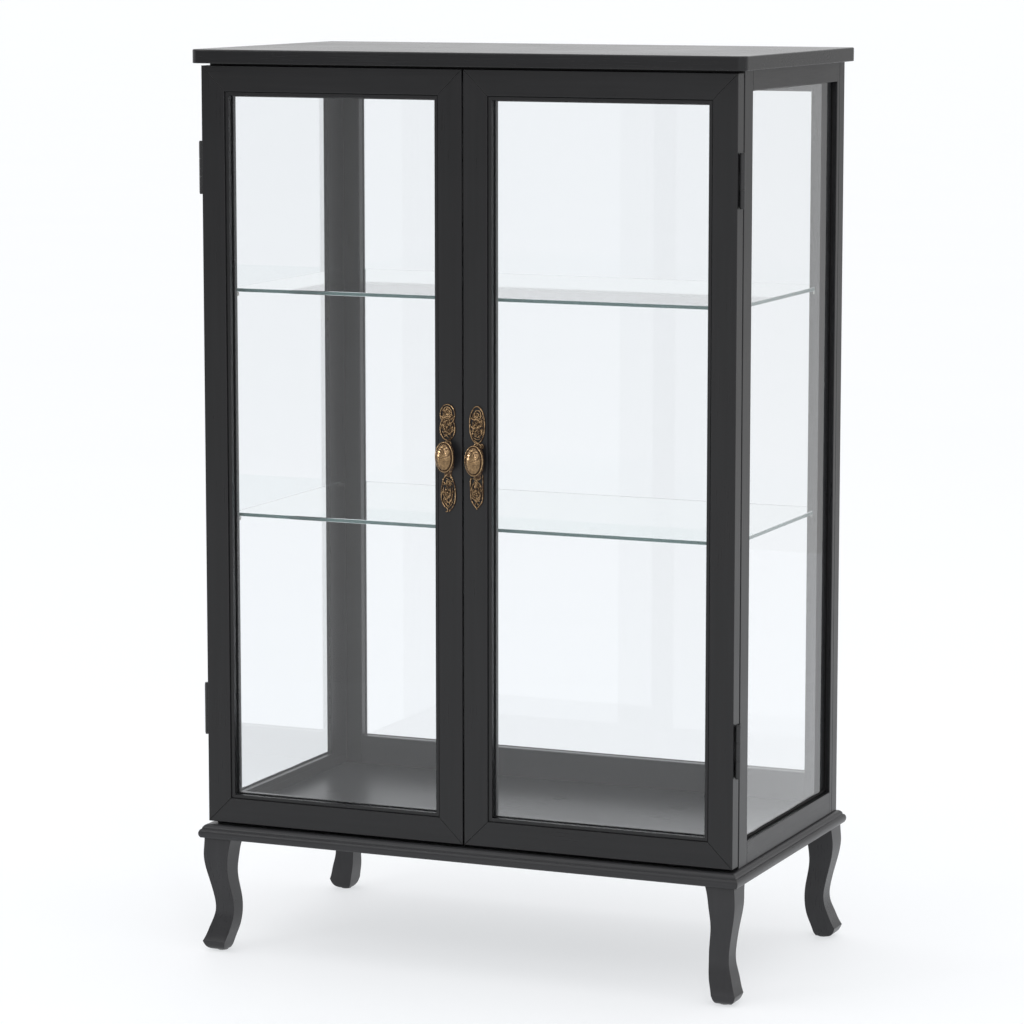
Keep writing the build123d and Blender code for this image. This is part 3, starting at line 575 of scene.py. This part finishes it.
def right_pull():
    """Rings, strands and beads of the right-hand pull: (points, radius, closed)."""
    strands = [
        (oval(0.0, 39.2, 9.5, 20.2, 0.25, 5, 0.4, count=18), 0.75, True),
        (scroll(0.2, 50.6, 5.6, 0.9, 250, 1.6, 1.15), 0.55, False),
        (oval(-0.6, 40.6, 5.0, 4.4, 0.25, 2, 0.4), 0.55, True),
        (scroll(0.6, 30.4, 5.4, 0.8, 70, -1.6, 1.1), 0.55, False),
        (lift([(-8.2, 47.8), (-5.4, 45.2), (-1.4, 45.6), (3.2, 46.4), (7.8, 43.0)]), 0.5, False),
        (lift([(7.8, 49.4), (5.0, 43.0), (6.6, 38.0), (6.0, 32.0), (7.2, 27.0)], phase=2.0), 0.55, False),
        (lift([(-8.6, 40.0), (-6.4, 36.0), (-2.2, 35.0), (2.4, 35.4), (5.2, 33.6)], phase=1.0), 0.5, False),
        (
            lift(
                [(-7.6, 31.6), (-4.6, 34.0), (-6.6, 27.6), (-3.0, 24.2), (1.4, 23.4),
                 (4.8, 25.2)],
                phase=0.5,
            ),
            0.5,
            False,
        ),
        (lift([(-3.6, 43.2), (0.4, 40.4), (2.8, 37.6)], phase=0.8), 0.45, False),
        (lift([(-5.0, 23.0), (-0.4, 20.4), (3.4, 17.8), (5.6, 14.4)], phase=0.1), 0.62, False),
        (scroll(6.0, 16.6, 2.6, 0.8, 210, 1.5), 0.62, False),
        (lift([(3.0, 20.8), (0.4, 17.4), (-2.4, 14.0)], phase=1.4), 0.58, False),
        # lower panel
        (
            lift(
                [(-7.6, -17.0), (-8.4, -24.0), (-8.4, -33.0), (-8.2, -42.0), (-6.8, -48.4), (-3.6, -53.6),
                 (-0.6, -57.4), (-0.6, -59.2)],
                wave=0.18,
            ),
            0.72,
            False,
        ),
        (
            lift(
                [(7.2, -14.5), (7.0, -22.0), (7.2, -31.0), (7.2, -40.0), (6.4, -47.6), (3.2, -53.4),
                 (-0.4, -57.4)],
                wave=0.18, phase=2.0,
            ),
            0.72,
            False,
        ),
        (oval(-0.7, -34.0, 6.2, 10.4, 0.22, 4, 0.0, count=14), 0.58, True),
        (oval(-0.8, -35.2, 3.4, 5.6, 0.2, 2, 1.0), 0.5, True),
        (lift([(-6.4, -19.4), (-2.6, -20.2), (0.6, -23.4), (4.6, -26.0)], phase=0.2), 0.52, False),
        (lift([(5.6, -18.0), (2.2, -20.6), (-1.4, -21.2), (-5.2, -25.6)], phase=1.4), 0.52, False),
        (lift([(-7.2, -43.4), (-3.2, -46.6), (0.6, -51.0), (1.4, -54.6)], phase=0.6), 0.55, False),
        (lift([(6.4, -43.4), (2.4, -46.4), (-1.6, -50.4), (-2.4, -53.2)], phase=2.2), 0.55, False),
        (lift([(-6.0, -44.6), (-0.6, -45.8), (5.2, -44.6)], phase=1.8), 0.5, False),
        (scroll(-1.6, -30.2, 2.2, 0.6, 20, 1.3), 0.42, False),
    ]
    beads = [((-0.4, 40.4, 1.2), 1.3), ((-5.6, 29.6, 1.1), 1.1), ((0.2, 52.0, 1.1), 0.9),
             ((-0.4, -38.2, 1.2), 1.3), ((2.8, -47.8, 1.1), 0.95), ((6.6, 17.4, 1.3), 1.0),
             ((-7.4, -20.2, 1.1), 0.95)]
    return strands + filigree(RIGHT_LOBES, 23), beads


def backing(bm, ridge):
    """The waisted strap behind the knob that carries both lobes."""
    half = [(3.0, 19.0), (4.4, 14.5), (6.4, 10.0), (7.4, 4.0)]
    half += [(7.4, -4.0), (6.4, -10.0), (4.6, -15.0), (3.4, -20.0)]
    outline = half + [(-u, v) for u, v in reversed(half)]
    rim = smooth_path([(u, v, 0.0) for u, v in outline], closed=True, steps=4)
    rings = []
    for shrink, height in ((1.0, 0.05), (1.0, 0.75), (0.93, 1.05), (0.82, 1.05), (0.76, 0.8)):
        wide, tall = shrink * MM, (0.5 + shrink / 2) * MM
        rings.append([bm.verts.new((p.x * wide, -height * MM, p.y * tall)) for p in rim])
    # Dark at the foot against the door and in the sunk middle, bright on the raised rim: patina and wear plus
    # painted shade.
    for j, ring in enumerate(rings):
        for vert in ring:
            vert[ridge] = (0.0, 0.35, 0.9, 0.7, 0.15)[j]
    count = len(rim)
    for first, second in zip(rings, rings[1:]):
        for k in range(count):
            bm.faces.new((first[k], first[(k + 1) % count], second[(k + 1) % count], second[k]))
    bm.faces.new(rings[-1])
    bm.faces.new(rings[0])


def pull_plate(strands, beads, shorten):
    """Fill a mesh with one pull; the lobe below LOBE_TOP is shortened by a share."""
    def squeeze(u, v, w):
        return (u * SLIM, LOBE_TOP + (v - LOBE_TOP) * shorten if v < LOBE_TOP else v, w)

    def fill(bm, ridge):
        backing(bm, ridge)
        for points, radius, closed in strands:
            path = smooth_path([squeeze(*point) for point in points], closed)
            wire(bm, ridge, path, radius, closed, rope=0.10 if closed else 0.05)
        for centre, radius in beads:
            bead(bm, ridge, squeeze(*centre), radius)

    return fill


LOBE_TOP = -20.0
SLIM = 0.93
KNOB_PROFILE = (
    # half width, half height, distance off the plate, how worn bright (low values: patina plus painted shade)
    (5.9, 5.9, 0.05, 0.1),
    (5.9, 5.9, 0.6, 0.5),
    (5.4, 5.4, 1.0, 0.9),
    (4.4, 4.4, 1.15, 0.2),
    (4.05, 4.05, 1.8, 0.3),
    (3.9, 3.9, 3.4, 0.5),
    (4.2, 4.5, 4.6, 0.4),
    (5.2, 6.4, 5.6, 0.3),
    (7.6, 10.9, 6.4, 0.3),
    (9.7, 14.9, 6.9, 0.4),
    (10.6, 16.4, 7.4, 0.5),
    (11.0, 17.0, 8.1, 0.8),
    (10.95, 16.95, 8.8, 0.95),
    (10.6, 16.55, 9.4, 1.0),
    (10.1, 16.0, 9.6, 0.95),
    (9.6, 15.45, 9.45, 0.5),
    (9.25, 15.1, 9.15, 0.05),
    (8.95, 14.8, 9.2, 0.2),
)
DOME_BASE = 9.25
DOME_RISE = 4.5
DOME_HALF_WIDTH = 8.9
DOME_HALF_HEIGHT = 14.75
DOME_ROWS = 34
DOME_SIDES = 96


def crest(u, v):
    """Height in mm of the faint cast scrolls on the knob's face, stronger towards its top."""
    up = v / 15.0
    fan = math.sin(5.0 * math.atan2(v - 15.5, u) + 1.2 * math.hypot(u, v - 15.5))
    curl = math.sin(1.35 * math.hypot(u - 3.2, v - 6.0) * 1.9 + 2.0 * math.atan2(v - 6.0, u - 3.2))
    curl_left = math.sin(1.35 * math.hypot(u + 3.4, v - 5.0) * 1.9 - 2.0 * math.atan2(v - 5.0, u + 3.4))
    mask = 1 / (1 + math.exp(-6.0 * (up - 0.12)))
    which = curl if u > 0 else curl_left
    return (0.05 * which + 0.03 * fan) * mask * min(1.0, abs(u) / 0.9 + 0.35)


def knob_form(bm, ridge):
    rings = []
    sides = DOME_SIDES

    def ring(half_u, half_v, height, rub_and_shade, relief=False):
        made = []
        for k in range(sides):
            turn = math.tau * k / sides
            u, v = half_u * math.sin(turn), half_v * math.cos(turn)
            rise = crest(u, v) if relief else 0.0
            vert = bm.verts.new((u * MM, -(height + rise) * MM, v * MM))
            # Raised scrolls read brighter: partly wear, partly painted shade between them.
            vert[ridge] = min(1.0, max(0.0, rub_and_shade + rise * 2.6))
            made.append(vert)
        rings.append(made)

    for half_u, half_v, height, rub_and_shade in KNOB_PROFILE:
        ring(half_u, half_v, height, rub_and_shade)
    for j in range(1, DOME_ROWS):
        share = 1 - j / DOME_ROWS
        lift_share = math.sqrt(max(0.0, 1 - (share * 0.985) ** 2.2))
        fade = min(1.0, (1 - share) * 9)
        # The dome grows slightly brighter towards its crown: wear plus painted sheen.
        height, rub_and_shade = DOME_BASE + DOME_RISE * lift_share, 0.86 + 0.06 * lift_share
        ring(DOME_HALF_WIDTH * share, DOME_HALF_HEIGHT * share, height, rub_and_shade, fade >= 1.0)
    for first, second in zip(rings, rings[1:]):
        for k in range(sides):
            bm.faces.new((first[k], first[(k + 1) % sides], second[(k + 1) % sides], second[k]))
    bm.faces.new(rings[0])
    tip = bm.verts.new((0, -(DOME_BASE + DOME_RISE + crest(0, 0)) * MM, 0))
    tip[ridge] = 0.92
    last = rings[-1]
    for k in range(sides):
        bm.faces.new((last[k], last[(k + 1) % sides], tip))


# Each pull was fitted one by one: how far its plate and knob sit above the handle height, in mm, and how long
# its lower lobe is.
PULLS = (
    ("left", left_pull, 0.5, 3.0, 1.0),
    ("right", right_pull, -0.5, 0.5, 0.86),
)
PLATE_OFF_DOOR = 0.00002


def place_pulls():
    """Put both pulls on their doors and return the pieces."""
    made = []
    for side, maker, plate_up, knob_up, shorten in PULLS:
        body = f"{side}_door"
        low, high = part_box(f"{body}_handle_plate")
        plate = new_piece(f"{body}_pull_plate", pull_plate(*maker(), shorten), brass)
        centre_x, centre_z = (low[0] + high[0]) / 2, (low[2] + high[2]) / 2
        plate.location = (centre_x, high[1] - PLATE_OFF_DOOR, centre_z + plate_up * MM)
        low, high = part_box(f"{body}_knob")
        knob = new_piece(f"{body}_pull_knob", knob_form, knob_brass)
        centre_x, centre_z = (low[0] + high[0]) / 2, (low[2] + high[2]) / 2
        knob.location = (centre_x, high[1], centre_z + knob_up * MM)
        for piece, node in ((plate, f"{body}_handle_plate"), (knob, f"{body}_knob")):
            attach(piece, body)
            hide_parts(node)
            made.append(piece)
    return made


pulls = place_pulls()


# ---------------------------------------------------------------- painted shade bands on the side panes
BAND_SECTION = ((0.05, 0.05), (0.05, 0.65), (0.35, 0.85), (1.6, 0.8), (2.1, 0.5), (2.25, 0.05))
BOTTOM_STEPS = 14
REAR_STEPS = 40
BOTTOM_WIDTH = 1.7


def painted_shade_band(side, pane_x, front, rear, bottom, top):
    """A thin black band outside one side pane, along its bottom and rear edges: painted shade in the rebate
    there.
    """
    depth, tall = rear - front, top - bottom
    run = [(front + depth * i / BOTTOM_STEPS, bottom, 0.0, BOTTOM_WIDTH) for i in range(BOTTOM_STEPS)]
    run.append((rear, bottom, -1.0, BOTTOM_WIDTH))
    run += [(rear, bottom + tall * i / REAR_STEPS, -1.0, 0.0) for i in range(1, REAR_STEPS + 1)]

    def fill(bm, ridge):
        rings = []
        for i, (y, z, in_y, in_z) in enumerate(run):
            sway = (1.0 + 0.05 * math.sin(2.3 * i) + 0.04 * math.sin(5.1 * i + 1.0)) * MM
            rings.append(
                [
                    bm.verts.new((pane_x + side * out * MM, y + in_y * inset * sway, z + in_z * inset * sway))
                    for inset, out in BAND_SECTION
                ]
            )
        count = len(BAND_SECTION)
        for first, second in zip(rings, rings[1:]):
            for k in range(count):
                bm.faces.new((first[k], first[(k + 1) % count], second[(k + 1) % count], second[k]))
        bm.faces.new(rings[0])
        bm.faces.new(rings[-1])

    return fill


def add_shade_bands():
    # The black band is painted shade: a dark strip standing where the rebate round the pane lies in shadow.
    shade = Shade("black_painted_shade")
    band_mottle = shade.noise(shade.place(), 420, 4, 0.6)
    shade.principled(
        Base_Color=shade.mix(band_mottle, (0.003, 0.003, 0.003, 1), (0.008, 0.008, 0.008, 1)),
        Roughness=shade.spread(band_mottle, 0.3, 0.7, 0.55, 0.7),
        Specular_IOR_Level=0.15,
        Normal=shade.bump(band_mottle, 0.2, 0.0003),
    )
    for side, name in ((-1, "left"), (1, "right")):
        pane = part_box(f"{name}_side_glass")
        fill = painted_shade_band(
            side,
            pane[0 if side < 0 else 1][0],
            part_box(f"{name}_side_front_stile")[1][1],
            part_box(f"{name}_side_rear_stile")[0][1],
            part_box(f"{name}_side_bottom_rail")[1][2],
            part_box(f"{name}_side_top_rail")[0][2],
        )
        band = new_piece(f"{name}_side_painted_shade", fill, shade.material)
        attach(band, "carcass")


add_shade_bands()


# ---------------------------------------------------------------- room, light and camera
FLOOR_DROP = 0.0002


def build_floor():
    def fill(bm, ridge):
        bmesh.ops.create_grid(bm, x_segments=8, y_segments=8, size=60.0)

    shade = Shade("studio_floor")
    cloud = shade.noise(shade.place(), 1.5, 2, 0.5)
    shade.principled(
        Base_Color=shade.mix(cloud, (0.345, 0.345, 0.35, 1), (0.36, 0.36, 0.365, 1)),
        Roughness=0.7,
        Specular_IOR_Level=0.2,
        Emission_Color=(0.96, 0.98, 1.0, 1),
        Emission_Strength=0.605,
    )
    floor = new_piece("studio_floor", fill, shade.material)
    floor.location.z = -FLOOR_DROP


def build_world():
    """A white studio all round."""
    world = bpy.data.worlds.new("studio")
    scene.world = world
    world.use_nodes = True
    background = world.node_tree.nodes["Background"]
    background.inputs["Color"].default_value = (0.985, 0.99, 1.0, 1)
    background.inputs["Strength"].default_value = 1.0


def softbox(name, place, target, size, power, tint=(1, 1, 1)):
    data = bpy.data.lights.new(name, "AREA")
    data.shape = "RECTANGLE"
    data.size, data.size_y = size
    data.energy = power
    data.color = tint
    lamp = bpy.data.objects.new(name, data)
    lamp.location = place
    aim = Vector(target) - Vector(place)
    lamp.rotation_euler = aim.to_track_quat("-Z", "Y").to_euler()
    lamp.visible_camera = False
    scene.collection.objects.link(lamp)
    return lamp


CAMERA_PLACE = (1.7784, -4.1958, 1.1491)
CAMERA_LENS = 143.5
CAMERA_DOWN = 8.13
CAMERA_TURN = 23.14


def build_camera():
    data = bpy.data.cameras.new("camera")
    data.lens = CAMERA_LENS
    data.sensor_width = 36.0
    camera = bpy.data.objects.new("camera", data)
    camera.location = CAMERA_PLACE
    camera.rotation_euler = (math.radians(90 - CAMERA_DOWN), 0.0, math.radians(CAMERA_TURN))
    scene.collection.objects.link(camera)
    scene.camera = camera


def grey_card(name, place, turn, half_size, dark, light, fade, across=0.0, unseen_in_glass=0.0):
    """A card that only reflections show: light at the foot, dark above fade, lighter to the right."""
    def fill(bm, ridge):
        bmesh.ops.create_grid(bm, x_segments=4, y_segments=8, size=1.0)

    shade = Shade(name)
    place_on_card = shade.node("ShaderNodeSeparateXYZ", {0: shade.place()})
    level = shade.spread(place_on_card.outputs["Y"], -1.0, fade, light, dark)
    level = shade.maths("ADD", level, shade.spread(place_on_card.outputs["X"], -0.35, 0.6, 0.0, across))
    glow = shade.node("ShaderNodeEmission", {"Color": shade.mix(level, (0, 0, 0, 1), (1, 1, 1, 1))})
    clear = shade.node("ShaderNodeBsdfTransparent").outputs[0]
    mirror_like = shade.node("ShaderNodeLightPath").outputs["Is Singular Ray"]
    share = shade.maths("MULTIPLY", mirror_like, unseen_in_glass)
    shade.surface(shade.node("ShaderNodeMixShader", {0: share, 1: glow.outputs[0], 2: clear}).outputs[0])
    card = new_piece(name, fill, shade.material)
    card.scale = (*half_size, 1.0)
    card.rotation_euler = (math.radians(90), 0.0, math.radians(turn))
    card.location = place
    card.visible_camera = False
    card.visible_diffuse = False
    card.visible_transmission = False
    card.visible_shadow = False


build_floor()
build_world()
grey_card("grey_card_front", (-1.07, -2.58, 0.85), -23.9, (1.5, 0.85), 0.03, 1.0, 0.3, 0.5, 0.6)
grey_card("grey_card_right", (1.5, 2.8, 0.92), 0.0, (1.0, 0.9), 0.6, 0.85, 0.0)
softbox("overhead", (0.0, -0.4, 3.4), (0, 0, 0.4), (3.2, 3.2), 22)
softbox("key_right", (1.5, -2.6, 2.6), (0, -0.18, 0.6), (0.5, 0.9), 14)
softbox("key_left", (-1.9, -2.9, 2.3), (0, -0.18, 0.6), (0.4, 0.8), 9)
brass_only = bpy.data.collections.new("brass_only")
for piece in pulls:
    brass_only.objects.link(piece)
for glint in (
    softbox("glint_left", (-2.65, -1.97, 0.75), (0, -0.18, 0.58), (0.45, 0.9), 24),
    softbox("glint_front", (0.15, -3.65, 1.0), (0, -0.18, 0.58), (0.3, 0.5), 20),
):
    glint.light_linking.receiver_collection = brass_only
build_camera()
scene.view_settings.view_transform = "Standard"
scene.view_settings.look = "None"
scene.cycles.max_bounces = 24
scene.cycles.transmission_bounces = 20
scene.cycles.transparent_max_bounces = 24
